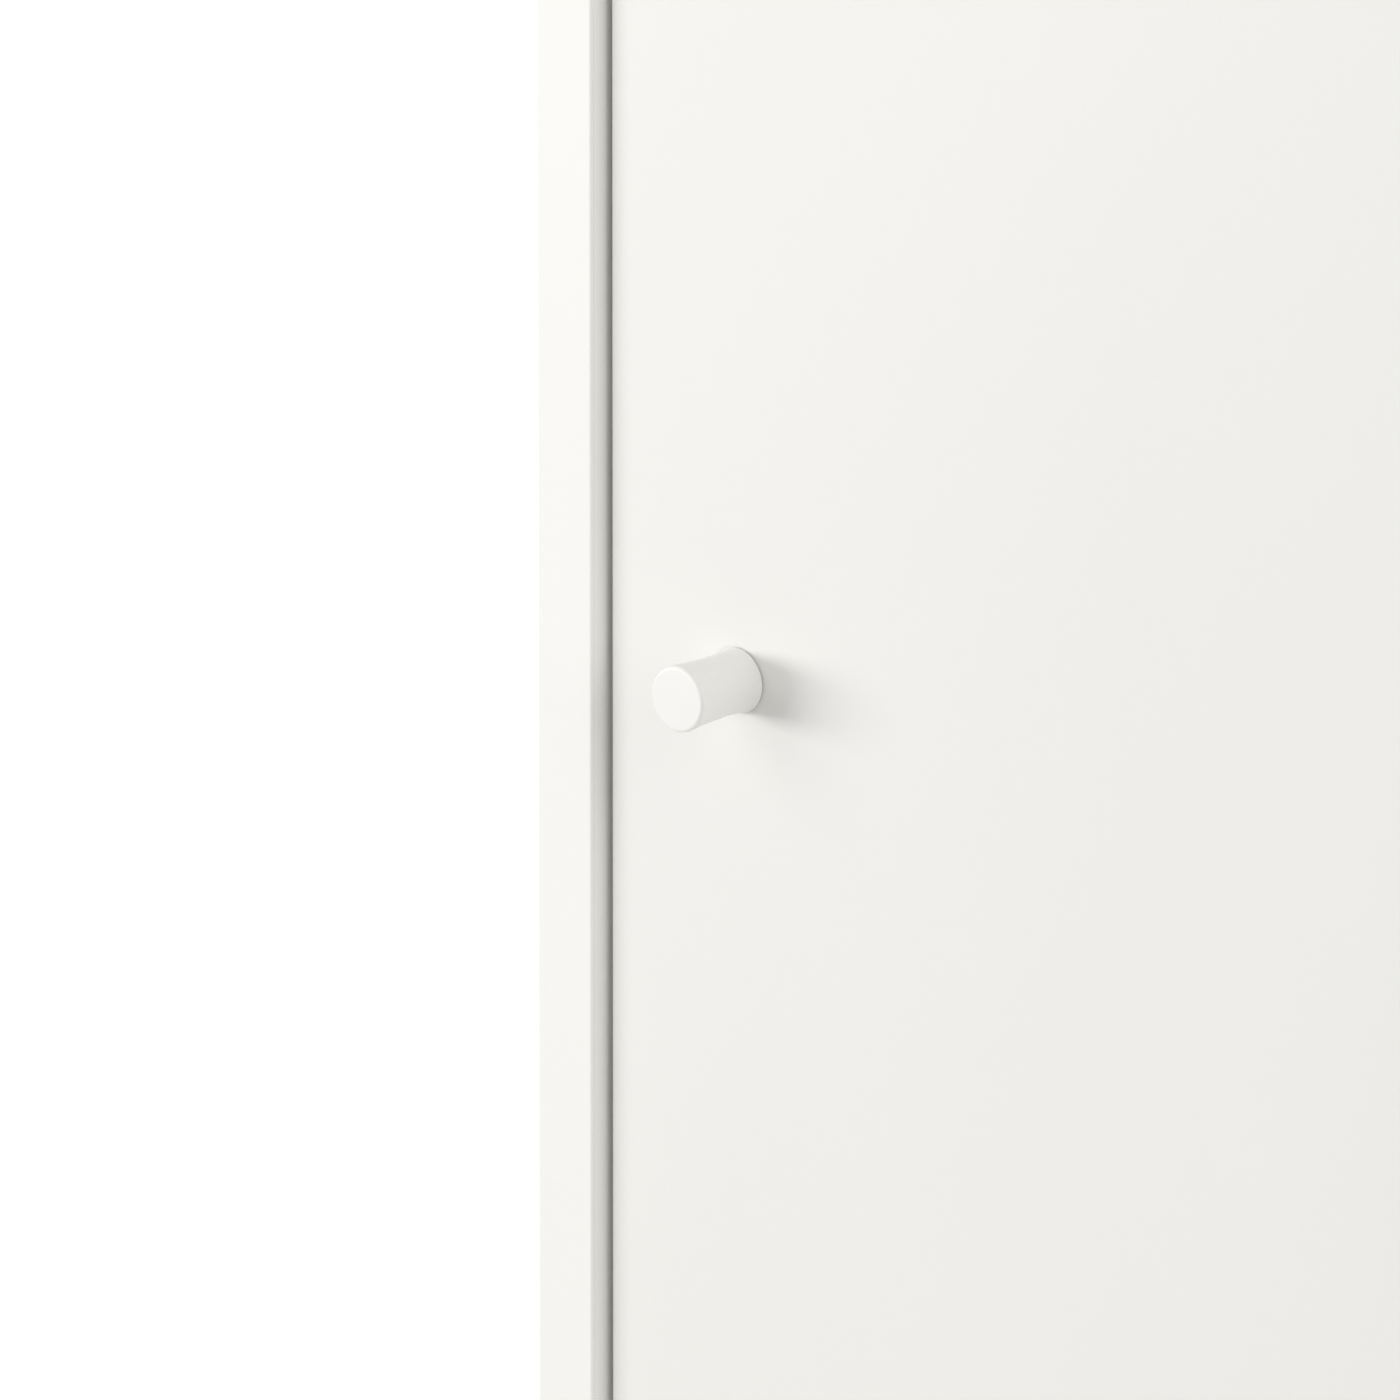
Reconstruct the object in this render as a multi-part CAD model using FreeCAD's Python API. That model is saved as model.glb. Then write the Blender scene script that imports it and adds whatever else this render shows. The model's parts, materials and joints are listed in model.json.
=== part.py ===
"""Free-standing wardrobe with two sliding doors on a double track.

The carcass is a box of coated board joined with cam fittings and dowels. A partition splits it
into a hanging bay with a hat shelf on the left and a bay of shelves on the right. Each door
stands on two rollers in the bottom track and is steered at the top by two sprung guide pins.
The front door closes the left bay and the rear door closes the right bay.

Frame: millimetres, +X to the right, +Y towards the wall, +Z up. The origin is on the floor,
below the centre of the whole object, door knobs included.
"""

import FreeCAD
import Part
import math
import os
from collections import defaultdict

# ---------------------------------------------------------------- driving dimensions
carcass_width = 1170.0
carcass_depth = 550.0
carcass_height = 1760.0
board = 18.0
door_board = 16.0
back_board = 3.0
edge_radius = 0.8
glide_height = 5.0
plinth_height = 60.0
plinth_recess = 12.0
plinth_rear_inset = 27.0  # front face of the rear plinth board before the back panel

door_recess = 5.0  # door face behind the front edges of the carcass
door_side_gap = 2.0  # closed door to side panel
door_overlap = 30.0  # the two closed doors over each other
door_lane_gap = 5.0  # rear face of the front door to the front face of the rear door
door_edge_radius = 1.0

knob_diameter = 17.2  # at the knob's outer end
knob_foot_diameter = 17.0
knob_waist_diameter = 15.7
knob_waist_height = 7.5  # narrowest place of the knob above the door
knob_length = 23.0
knob_edge_radius = 0.8
knob_inset = 42.0  # knob axis from the door's outer edge
knob_height = 930.0  # knob axis above the floor
knob_stop_gap = 4.4  # fully open front door to the rear door's knob

lane_width = 8.0
rib_thickness = 2.0
track_margin = 3.0  # track base outside its outer ribs
bottom_track_base = 2.5
bottom_rib = 4.0
top_track_base = 2.0
top_rib = 12.0
door_over_rib = 2.0
door_under_rib = 4.0

wheel_radius = 12.0
wheel_width = 6.5
axle_radius = 2.5
fitting_inset = 60.0  # rollers and guides from the door's ends
fitting_height = 38.0
pocket_depth = 13.0  # fitting pockets in the rear face of a door
flange_depth = 1.5
roller_pocket_width = 48.0
roller_flange_width = 78.0
guide_pocket_width = 30.0
guide_flange_width = 60.0
guide_travel = 9.0
guide_rise = 10.0  # guide pin above the door

back_recess = 4.0  # rear face of the back panel in front of the side panels' rear edges
rebate_width = 8.0
shelf_setback = 10.0
rail_width = 15.0
rail_height = 30.0
rail_drop = 45.0  # rail axis below the hat shelf
running_clearance = 0.05
play = 0.1
overcut = 1.0  # how far a cutting tool runs past the face that it opens
overlap = 1.0  # how far pieces of one solid run into each other before they are joined

# ---------------------------------------------------------------- hardware sizes
cam_radius = 7.5
cam_depth = 13.5
cam_distance = 24.0  # cam axis from the board's end
bolt_radius = 2.5
bolt_depth = 11.5
bolt_bore_radius = 4.0
bolt_neck_radius = 2.0
bolt_head = 3.0  # radius and length of the end that the cam pulls on
bolt_short = 1.0  # end of the bolt before the cam's axis
plinth_cam_drop = 12.0  # cam below, and dowel above, the middle of a plinth board
dowel_radius = 4.0
dowel_length = 30.0
dowel_in_face = 10.0
dowel_step = 32.0  # dowel beside its bolt
joint_inset = 60.0  # outer bolts from a board's front and rear
shelf_pin_radius = 2.5
shelf_pin_depth = 10.0
shelf_pin_inset = 37.0
shelf_end_gap = 1.8
system_pitch = 32.0  # holes for shelf pins
holes_each_way = 2  # spare pin holes above and below a shelf
nail_radius = 0.8
nail_length = 18.0
nail_head = (2.2, 0.6)  # radius, thickness
nail_margin = 40.0  # outer nails of a side from the middles of top and bottom panel
glide_radius = 8.0
glide_nail = (1.0, 12.0)  # radius, depth in the board
glide_from_front = 40.0
glide_from_rear = 50.0
bracket_x = 300.0
bracket_steel = 1.5
bracket_width = 30.0
bracket_drop = 26.0  # wall screw below the top panel
wall_hole_radius = 3.2
back_hole_radius = 4.0  # in the back panel, behind a bracket's wall hole
bracket_screw = (3.2, 1.75, 14.0)  # head radius, shank radius, length, as for the next four
track_screw = (3.5, 1.75, 14.0)
stop_screw = (3.0, 1.5, 16.0)
fitting_screw = (2.8, 1.5, 10.5)
knob_screw = (3.9, 2.0, 28.0)
knob_hole_depth = 14.0
stop_height = 5.0
stop_length = 20.0
track_screw_margin = 60.0  # outer track screws from the side panels
buffer_radius = 4.0
buffer_margin = 200.0  # buffers from a door's top and bottom edges
socket_half_width = 14.0
socket_half_height = 26.0
socket_screw_z = 21.5  # screws above and below the rail's axis
adjuster_radius = 4.0
adjuster_depth = 4.0
adjuster_z = 28.0  # above the door's bottom edge
nose_radius = 3.7  # guide pin
chamber_top = -12.4  # from the door's top edge, as are the next two
chamber_floor = -32.2
shoulder_low = -16.5
chamber = (6.2, -3.8, 5.0)  # half width, front and rear from the middle of the door
tab_half_width = 4.0

# ---------------------------------------------------------------- derived places
knob_radius = knob_diameter / 2
knob_proud = knob_length - door_recess
front = knob_proud - (carcass_depth + knob_proud) / 2
rear = front + carcass_depth
half_width = carcass_width / 2
inner = half_width - board

bottom_low = glide_height + plinth_height
bottom_top = bottom_low + board
top_low = carcass_height - board

back_rear = rear - back_recess
back_front = back_rear - back_board
back_top = carcass_height - 1.0
back_low = bottom_low + 1.0

front_lane = front + door_recess + door_board / 2
rear_lane = front_lane + door_board + door_lane_gap
lanes_middle = (front_lane + rear_lane) / 2
track_edge = lane_width / 2 + rib_thickness + track_margin
track_front = front_lane - track_edge
track_rear = rear_lane + track_edge

groove_floor = bottom_top + bottom_track_base
axle_height = groove_floor + wheel_radius + running_clearance
door_bottom = groove_floor + bottom_rib + door_over_rib
door_top = top_low - top_track_base - top_rib - door_under_rib
door_width = inner - door_side_gap + door_overlap / 2
front_door_left = -inner + door_side_gap
rear_door_left = inner - door_side_gap - door_width
front_knob_x = front_door_left + knob_inset
rear_knob_x = rear_door_left + door_width - knob_inset
door_travel = rear_knob_x - knob_radius - knob_stop_gap - (front_door_left + door_width)

partition_front = track_rear + 8.0
strip_flange = 1.0
partition_rear = back_front - strip_flange - play
shelf_front = partition_front + shelf_setback
shelf_rear = partition_rear - 1.0
shelf_pitch = (top_low - bottom_top + board) / 5
shelf_levels = [bottom_top + n * shelf_pitch - board for n in (1, 2, 3, 4)]
fixed_level = shelf_levels[2]
hat_level = shelf_levels[3]
rail_z = hat_level - rail_drop
rail_y = (shelf_front + shelf_rear) / 2
bay_left, bay_right = -board / 2, board / 2

X = FreeCAD.Vector(1, 0, 0)
Y = FreeCAD.Vector(0, 1, 0)
Z = FreeCAD.Vector(0, 0, 1)
origin = FreeCAD.Vector(0, 0, 0)

boards = {}
cuts = defaultdict(list)  # board name: the holes drilled in it
hardware = defaultdict(list)  # node name: its separate solids


# ---------------------------------------------------------------- helpers
def point(x, y, z):
    return FreeCAD.Vector(x, y, z)


def block(x0, x1, y0, y1, z0, z1):
    """A box between two corners, given in any order along each axis."""
    low = point(min(x0, x1), min(y0, y1), min(z0, z1))
    return Part.makeBox(abs(x1 - x0), abs(y1 - y0), abs(z1 - z0), low)


def rod(radius, start, direction, length):
    return Part.makeCylinder(radius, length, start, direction)


def cone(radius_low, radius_high, z_low, z_high):
    return Part.makeCone(radius_low, radius_high, z_high - z_low, point(0, 0, z_low), Z)


def placed(shape, start, along_x, along_z):
    """The shape turned so that its own X and Z point along two directions, then moved."""
    turn = FreeCAD.Rotation(along_x, along_z.cross(along_x), along_z, "ZXY")
    moved = shape.copy()
    moved.Placement = FreeCAD.Placement(start, turn)
    return moved


def joined(shapes):
    return shapes[0].fuse(shapes[1:]).removeSplitter()


def rounded(shape, radius, wanted):
    """The shape with each edge rounded whose middle wanted() accepts."""
    return shape.makeFillet(radius, [e for e in shape.Edges if wanted(e.CenterOfMass)])


def near(a, b):
    return abs(a - b) < 0.01


def stadium(width, height, x0, x1):
    """A bar along X through the origin's axis: width along Y, height along Z, round ends."""
    radius = width / 2
    straight = height / 2 - radius
    return joined([
        block(x0, x1, -radius, radius, -straight, straight),
        rod(radius, point(x0, 0, straight), X, x1 - x0),
        rod(radius, point(x0, 0, -straight), X, x1 - x0),
    ])


def export(name, shape):
    """Writes one node, which is a single solid or a list of separate ones."""
    if isinstance(shape, list):
        shape = Part.makeCompound(shape)
    for solid in shape.Solids:
        if not solid.isValid() or solid.Volume <= 0:
            raise ValueError(name + " holds a solid that is not valid")
    shape.exportStep("parts/" + name + ".step")


# ---------------------------------------------------------------- fasteners, along +Z
def cross_recess(reach, depth):
    """Cutting tool for a cross-head recess that goes from the XY plane up to depth."""
    half_slot = reach / 6
    return block(-reach, reach, -half_slot, half_slot, -overcut, depth).fuse(
        block(-half_slot, half_slot, -reach, reach, -overcut, depth)
    )


def countersunk_screw(size, point_length, point_radius):
    """Countersunk screw with the flat of its head in the XY plane."""
    head_radius, shank_radius, length = size
    head = head_radius - shank_radius
    body = joined([
        cone(head_radius, shank_radius, 0, head),
        rod(shank_radius, point(0, 0, head), Z, length - head - point_length),
        cone(shank_radius, point_radius, length - point_length, length),
    ])
    recess_reach, recess_depth = 0.6 * head_radius, 0.7 * head
    return body.cut(cross_recess(recess_reach, recess_depth))


def wood_screw(size):
    tip_radius = 0.2
    return countersunk_screw(size, 2 * size[1], tip_radius)


def screw_hole(size, depth):
    """Cutting tool that lets a countersunk screw through a plate, with play all round."""
    head_radius, shank_radius, _ = size
    head = head_radius - shank_radius
    return joined([
        rod(head_radius + play, point(0, 0, -overcut), Z, overcut),
        cone(head_radius + play, shank_radius + play, 0, head),
        rod(shank_radius + play, point(0, 0, head), Z, depth - head),
    ])


def make_dowel():
    """Wooden dowel with chamfered ends; the XY plane is where the two boards meet."""
    low = play - dowel_in_face
    high = dowel_length - dowel_in_face - play
    chamfer = 1.0
    thin = dowel_radius - chamfer
    return joined([
        cone(thin, dowel_radius, low, low + chamfer),
        rod(dowel_radius, point(0, 0, low + chamfer), Z, high - low - 2 * chamfer),
        cone(dowel_radius, thin, high - chamfer, high),
    ])


def make_cam_bolt():
    """Cam bolt; below the XY plane its thread is in the other board."""
    thread = bolt_depth - 5 * play
    into_collar = 2 * play
    collar_radius, collar_thickness = bolt_bore_radius - 2 * play, 1.2
    neck_end = cam_distance - bolt_short - bolt_head
    return joined([
        rod(bolt_radius - running_clearance, point(0, 0, -thread), Z, thread + into_collar),
        rod(collar_radius, point(0, 0, play), Z, collar_thickness),
        rod(bolt_neck_radius, point(0, 0, play), Z, neck_end),
        rod(bolt_head, point(0, 0, neck_end), Z, bolt_head),
    ])


def make_cam_lock():
    """Cam with its face in the XY plane, +Z into the board; the bolt's head comes from -X."""
    height = cam_depth - 5 * play
    recess_reach, recess_depth = 0.62 * cam_radius, 2.5
    channel_top = board / 2 - bolt_head - 0.5
    neck_room = bolt_neck_radius + 0.5
    head_room = bolt_head + 0.4
    head_start, head_end = -bolt_head - 1.6, 0.5
    return rod(cam_radius - play, origin, Z, height).cut([
        cross_recess(recess_reach, recess_depth),
        block(-cam_radius, 0, -neck_room, neck_room, channel_top, height + overcut),
        block(head_start, head_end, -head_room, head_room, channel_top, height + overcut),
    ])


def make_cam_cap():
    """Cover cap over a cam: a thin domed disc whose stub sits in the cam's cross recess."""
    rim, thickness, dome = 1.2, 1.0, 0.6
    stub_radius, stub_depth, into_disc = 0.7, 1.8, 0.2
    disc = rod(cam_radius + rim, origin, Z, thickness)
    disc = rounded(disc, dome, lambda c: near(c.z, thickness))
    return joined([disc, rod(stub_radius, point(0, 0, -stub_depth), Z, stub_depth + into_disc)])


def make_nail():
    """Flat-headed nail, its head below the XY plane and its shank above."""
    head_radius, head = nail_head
    tip_length, tip_radius = 2.0, 0.1
    return joined([
        rod(head_radius, point(0, 0, -head), Z, head),
        rod(nail_radius, point(0, 0, -head), Z, head + nail_length - tip_length),
        cone(nail_radius, tip_radius, nail_length - tip_length, nail_length),
    ])


def make_shelf_pin():
    """Shelf support: plain pin in the board below the XY plane, collar and peg above."""
    radius = shelf_pin_radius - running_clearance
    inside = shelf_pin_depth - 5 * play
    peg_length = 8.0
    collar_radius, collar_thickness = 4.0, shelf_end_gap - 4 * play
    return joined([
        rod(radius, point(0, 0, -inside), Z, inside + peg_length),
        rod(collar_radius, origin, Z, collar_thickness),
    ])


# ---------------------------------------------------------------- joints between boards
dowel = make_dowel()
cam_bolt = make_cam_bolt()
cam_lock = make_cam_lock()
cam_cap = make_cam_cap()


def cam_joint(end_board, face_board, contact, inward, outward):
    """A cam pulls the end of one board onto the face of another.

    contact is the point on the face in the middle of the end, inward runs from there into the
    end board, and outward is the normal of the end board's face that the cam is set into.
    """
    cam_face = contact + inward * cam_distance + outward * (board / 2)
    cuts[face_board].append(rod(bolt_radius, contact, inward * -1, bolt_depth))
    cuts[end_board].append(rod(bolt_bore_radius, contact, inward, cam_distance))
    cuts[end_board].append(rod(cam_radius, cam_face, outward * -1, cam_depth))
    hardware["cam_bolts"].append(placed(cam_bolt, contact, outward, inward))
    hardware["cam_locks"].append(placed(cam_lock, cam_face, inward, outward * -1))
    hardware["cam_caps"].append(placed(cam_cap, cam_face, inward, outward))


def dowel_joint(end_board, face_board, contact, inward):
    radius = dowel_radius + running_clearance
    cuts[face_board].append(rod(radius, contact, inward * -1, dowel_in_face))
    cuts[end_board].append(rod(radius, contact, inward, dowel_length - dowel_in_face))
    side = Y if abs(inward.y) < 0.5 else X
    hardware["dowels"].append(placed(dowel, contact, side, inward))


def fasten_end(end_board, face_board, x, z, depth_range, inward, outward):
    """Two cams and two dowels along the depth of one end of a board."""
    near_end, far_end = depth_range
    for bolt_y, step in ((near_end + joint_inset, dowel_step), (far_end - joint_inset, -dowel_step)):
        cam_joint(end_board, face_board, point(x, bolt_y, z), inward, outward)
        dowel_joint(end_board, face_board, point(x, bolt_y + step, z), inward)


# ---------------------------------------------------------------- carcass boards
def make_side_panel(side):
    """Side panel, side -1 for the left and +1 for the right, rebated for the back panel."""
    panel = block(side * inner, side * half_width, front, rear, glide_height, carcass_height)
    panel = rounded(panel, edge_radius, lambda c: near(c.y, front) or near(c.z, carcass_height))
    rebate = block(side * inner, side * (inner + rebate_width), back_front, rear + overcut,
                   glide_height - overcut, carcass_height + overcut)
    return panel.cut(rebate)


def flat_board(x0, x1, y0, y1, z0):
    """Horizontal board with its front upper and lower edges rounded."""
    slab = block(x0, x1, y0, y1, z0, z0 + board)
    return rounded(slab, edge_radius, lambda c: near(c.y, y0) and near(c.x, (x0 + x1) / 2))


def make_boards():
    boards["side_panel_left"] = make_side_panel(-1)
    boards["side_panel_right"] = make_side_panel(1)
    boards["top_panel"] = flat_board(-inner, inner, front, back_front, top_low)
    boards["bottom_panel"] = flat_board(-inner, inner, front, back_front, bottom_low)
    partition = block(bay_left, bay_right, partition_front, partition_rear, bottom_top, top_low)
    middle = (bottom_top + top_low) / 2
    boards["partition_panel"] = rounded(
        partition, edge_radius, lambda c: near(c.y, partition_front) and near(c.z, middle)
    )
    plinths = (("plinth_front", front + plinth_recess), ("plinth_rear", back_front - plinth_rear_inset))
    for name, y in plinths:
        boards[name] = block(-inner, inner, y, y + board, glide_height, bottom_low)
    boards["hat_shelf"] = flat_board(-inner, bay_left, shelf_front, shelf_rear, hat_level)
    boards["fixed_shelf"] = flat_board(bay_right, inner, shelf_front, shelf_rear, fixed_level)
    left, right = bay_right + shelf_end_gap, inner - shelf_end_gap
    for name, level in (("lower", 0), ("middle", 1), ("upper", 3)):
        boards["adjustable_shelf_" + name] = flat_board(
            left, right, shelf_front, shelf_rear, shelf_levels[level]
        )


def join_boards():
    half = board / 2
    full_depth = (front, back_front)
    shelf_depth = (shelf_front, shelf_rear)
    down = Z * -1
    for side, face in ((-1, "side_panel_left"), (1, "side_panel_right")):
        inward = X * -side
        wall = side * inner
        fasten_end("top_panel", face, wall, top_low + half, full_depth, inward, down)
        fasten_end("bottom_panel", face, wall, bottom_low + half, full_depth, inward, down)
        for name, outward in (("plinth_front", Y), ("plinth_rear", Y * -1)):
            middle = boards[name].CenterOfMass
            cam_z, dowel_z = middle.z - plinth_cam_drop, middle.z + plinth_cam_drop
            cam_joint(name, face, point(wall, middle.y, cam_z), inward, outward)
            dowel_joint(name, face, point(wall, middle.y, dowel_z), inward)
    fasten_end("partition_panel", "top_panel", 0, top_low, shelf_depth, down, X)
    fasten_end("partition_panel", "bottom_panel", 0, bottom_top, shelf_depth, Z, X)
    hat, fixed = hat_level + half, fixed_level + half
    fasten_end("hat_shelf", "side_panel_left", -inner, hat, shelf_depth, X, down)
    fasten_end("hat_shelf", "partition_panel", bay_left, hat, shelf_depth, X * -1, down)
    fasten_end("fixed_shelf", "partition_panel", bay_right, fixed, shelf_depth, X, down)
    fasten_end("fixed_shelf", "side_panel_right", inner, fixed, shelf_depth, X * -1, down)


def add_shelf_pins():
    """Rows of pin holes in the right bay, with four pins under each adjustable shelf."""
    pin = make_shelf_pin()
    walls = (("partition_panel", bay_right, X), ("side_panel_right", inner, X * -1))
    columns = (shelf_front + shelf_pin_inset, shelf_rear - shelf_pin_inset)
    for level in (shelf_levels[0], shelf_levels[1], shelf_levels[3]):
        pin_z = level - shelf_pin_radius
        for name, x, outward in walls:
            for y in columns:
                for step in range(-holes_each_way, holes_each_way + 1):
                    mouth = point(x, y, pin_z + step * system_pitch)
                    cuts[name].append(rod(shelf_pin_radius, mouth, outward * -1, shelf_pin_depth))
                hardware["shelf_pins"].append(placed(pin, point(x, y, pin_z), Z, outward))


def add_foot_glides():
    """Plastic glides with a nail, two under each side panel and one under each plinth board."""
    nail, deep = glide_nail
    soft_edge = 1.2
    disc = rounded(rod(glide_radius, origin, Z, glide_height), soft_edge, lambda c: near(c.z, 0))
    glide = joined([disc, rod(nail, point(0, 0, glide_height - overlap), Z, deep + overlap)])
    spots = [("plinth_front", 0, boards["plinth_front"].CenterOfMass.y)]
    spots.append(("plinth_rear", 0, boards["plinth_rear"].CenterOfMass.y))
    for name, x in (("side_panel_left", -inner - board / 2), ("side_panel_right", inner + board / 2)):
        spots += [(name, x, front + glide_from_front), (name, x, rear - glide_from_rear)]
    for name, x, y in spots:
        hole = rod(nail + running_clearance, point(x, y, glide_height), Z, deep + 10 * play)
        cuts[name].append(hole)
        hardware["foot_glides"].append(glide.translated(point(x, y, 0)))


# ---------------------------------------------------------------- back
def make_back():
    """Two hardboard leaves nailed on from behind, held together by an H-shaped strip."""
    web = 1.5
    flange_width = 7.0
    gap = 0.5
    low, high = bottom_top + gap, top_low - gap
    for name, side in (("left", -1), ("right", 1)):
        seam = side * (web / 2 + play)
        edge = side * (inner + rebate_width - gap)
        leaf = block(seam, edge, back_front, back_rear, back_low, back_top)
        hole_start = point(side * bracket_x, back_front - overcut, top_low - bracket_drop)
        bracket_hole = rod(back_hole_radius, hole_start, Y, back_board + 2 * overcut)
        export("back_panel_" + name, leaf.cut(bracket_hole))
    strip = joined([
        block(-web / 2, web / 2, back_front - strip_flange, back_rear + strip_flange, low, high),
        block(-flange_width, flange_width, back_front - strip_flange, back_front, low, high),
        block(-flange_width, flange_width, back_rear, back_rear + strip_flange, low, high),
    ])
    export("back_joint_strip", strip)


def add_back_nails():
    nail = make_nail()
    upright, across = 10, 4
    top_row, low_row = top_low + board / 2, bottom_low + board / 2
    spots = []
    for side in (-1, 1):
        for n in range(upright):
            z = low_row + nail_margin + n * (top_row - low_row - 2 * nail_margin) / (upright - 1)
            spots.append((side * (inner + rebate_width / 2), z))
        for n in range(across):
            x = side * (joint_inset + n * (inner - 2 * joint_inset) / (across - 1))
            spots += [(x, top_row), (x, low_row)]
    for x, z in spots:
        hardware["back_nails"].append(placed(nail, point(x, back_rear, z), X, Y * -1))


def add_wall_brackets():
    """Steel angles under the top panel that take one wall screw each."""
    leg, arm, screw_offset = 40.0, 35.0, 3.0
    half = bracket_width / 2
    low_face = back_front - bracket_steel
    for x in (-bracket_x, bracket_x):
        angle = joined([
            block(x - half, x + half, low_face, back_front, top_low - leg, top_low),
            block(x - half, x + half, back_front - arm, back_front, top_low - bracket_steel, top_low),
        ])
        hole_start = point(x, low_face - overcut, top_low - bracket_drop)
        wall_hole = rod(wall_hole_radius, hole_start, Y, bracket_steel + 2 * overcut)
        head = point(x, back_front - arm / 2 - screw_offset, top_low - bracket_steel)
        screw_tool = screw_hole(bracket_screw, bracket_steel + 2 * overcut)
        hardware["wall_brackets"].append(angle.cut([wall_hole, placed(screw_tool, head, X, Z)]))
        hardware["carcass_screws"].append(placed(wood_screw(bracket_screw), head, X, Z))


# ---------------------------------------------------------------- hanging rail
def make_rail():
    wall = 1.0
    end_gap = 2.2
    left, right = -inner + end_gap, bay_left - end_gap
    tube = stadium(rail_width, rail_height, left, right)
    bore = stadium(rail_width - 2 * wall, rail_height - 2 * wall, left - overcut, right + overcut)
    export("clothes_rail", tube.cut(bore).translated(point(0, rail_y, rail_z)))
    plate, cup, rim, corner = 2.0, 14.0, 2.5, 6.0
    fit = 2 * play
    half_y, half_z = socket_half_width, socket_half_height
    flat = block(0, plate, -half_y, half_y, -half_z, half_z)
    flat = rounded(flat, corner, lambda c: near(abs(c.z), half_z) and near(abs(c.y), half_y))
    outer = stadium(rail_width + fit + 2 * rim, rail_height + fit + 2 * rim, 0, cup)
    hollow = stadium(rail_width + fit, rail_height + fit, plate, cup + overcut)
    half_mouth = rail_width / 2 + play
    mouth = block(plate, cup + overcut, -half_mouth, half_mouth, 0, rail_height)
    socket = joined([flat, outer]).cut([hollow, mouth])
    screw_tool = screw_hole(track_screw, plate + 2 * overcut)
    heads = [point(plate, 0, -socket_screw_z), point(plate, 0, socket_screw_z)]
    socket = socket.cut([placed(screw_tool, head, Y, X * -1) for head in heads])
    screw = wood_screw(track_screw)
    for name, x, outward in (("left", -inner, X), ("right", bay_left, X * -1)):
        spot = point(x, rail_y, rail_z)
        export("rail_socket_" + name, placed(socket, spot, outward, Z))
        for z in (-socket_screw_z, socket_screw_z):
            head = spot + outward * plate + Z * z
            hardware["carcass_screws"].append(placed(screw, head, Y, outward * -1))


# ---------------------------------------------------------------- tracks
def make_track(base_low, base_high, rib_end, cut_tools):
    """Double track: a flat base with two ribs beside each lane."""
    base_face = base_low if rib_end < base_low else base_high
    shapes = [block(-inner, inner, track_front, track_rear, base_low, base_high)]
    for lane in (front_lane, rear_lane):
        for side in (-1, 1):
            rib = lane + side * lane_width / 2
            shapes.append(block(-inner, inner, rib, rib + side * rib_thickness, base_face, rib_end))
    return joined(shapes).cut(cut_tools)


def stop_place(wheel_x, towards):
    """Face of a stop that a wheel at wheel_x reaches when its door is fully open."""
    gap = 0.4
    over_stop = wheel_radius - stop_height
    return wheel_x + towards * (door_travel + math.sqrt(wheel_radius**2 - over_stop**2) + gap)


def make_tracks():
    screws_x = [n * (inner - track_screw_margin) / 2 for n in (-2, -1, 0, 1, 2)]
    hole = screw_hole(track_screw, bottom_track_base + 2 * overcut)
    screw = wood_screw(track_screw)
    top_tools, bottom_tools = [], []
    for x in screws_x:
        head = point(x, lanes_middle, top_low - top_track_base)
        top_tools.append(placed(hole, head, X, Z))
        hardware["carcass_screws"].append(placed(screw, head, X, Z))
        head = point(x, lanes_middle, groove_floor)
        bottom_tools.append(placed(hole, head, X, Z * -1))
        hardware["carcass_screws"].append(placed(screw, head, X, Z * -1))

    stop_top = groove_floor + stop_height
    stop_hole_depth = stop_height + bottom_track_base + 2 * overcut
    stop_tool = placed(screw_hole(stop_screw, stop_hole_depth), origin, X, Z * -1)
    half_stop = lane_width / 2 - play
    right_wheel = front_door_left + door_width - fitting_inset
    left_wheel = rear_door_left + fitting_inset
    for lane, wheel_x, towards in ((front_lane, right_wheel, 1), (rear_lane, left_wheel, -1)):
        face = stop_place(wheel_x, towards)
        end = face + towards * stop_length
        head = point((face + end) / 2, lane, stop_top)
        tool = stop_tool.translated(head)
        bottom_tools.append(tool)
        body = block(face, end, lane - half_stop, lane + half_stop, groove_floor, stop_top)
        hardware["track_stops"].append(body.cut(tool))
        hardware["carcass_screws"].append(placed(wood_screw(stop_screw), head, X, Z * -1))

    top_base = (top_low - top_track_base, top_low)
    export("top_track", make_track(*top_base, top_base[0] - top_rib, top_tools))
    bottom_rib_end = groove_floor + bottom_rib
    export("bottom_track", make_track(bottom_top, groove_floor, bottom_rib_end, bottom_tools))


def add_door_buffers():
    """Soft pads on the side panels that the closed doors come to rest against."""
    thick, soft_edge = door_side_gap - play, 0.8
    pad = rounded(rod(buffer_radius, origin, Z, thick), soft_edge, lambda c: near(c.z, thick))
    for lane, wall, outward in ((front_lane, -inner, X), (rear_lane, inner, X * -1)):
        for z in (door_bottom + buffer_margin, door_top - buffer_margin):
            hardware["door_buffers"].append(placed(pad, point(wall, lane, z), Z, outward))


# ---------------------------------------------------------------- door fittings
# Each is made about the door's own edge: y = 0 is the middle of the door's thickness, z = 0
# the edge, and into is +1 for the bottom edge or -1 for the top edge.
door_back = door_board / 2
fitting_face = door_back - play


def fitting_pocket(width, flange_width, into):
    """Cutting tool for the recess that a fitting fills, open at the rear face and the edge."""
    return joined([
        block(-width / 2, width / 2, door_back - pocket_depth, door_back + overcut,
              -into * overcut, into * fitting_height),
        block(-flange_width / 2, flange_width / 2, door_back - flange_depth, door_back + overcut,
              -into * overcut, into * fitting_height),
    ])


def fitting_body(width, flange_width, into):
    edge_gap = 2 * play
    half, flange_half = width / 2 - play, flange_width / 2 - play
    top = into * (fitting_height - play)
    return joined([
        block(-half, half, door_back - pocket_depth + play, fitting_face, into * edge_gap, top),
        block(-flange_half, flange_half, door_back - flange_depth + play, fitting_face,
              into * edge_gap, top),
    ])


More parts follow.
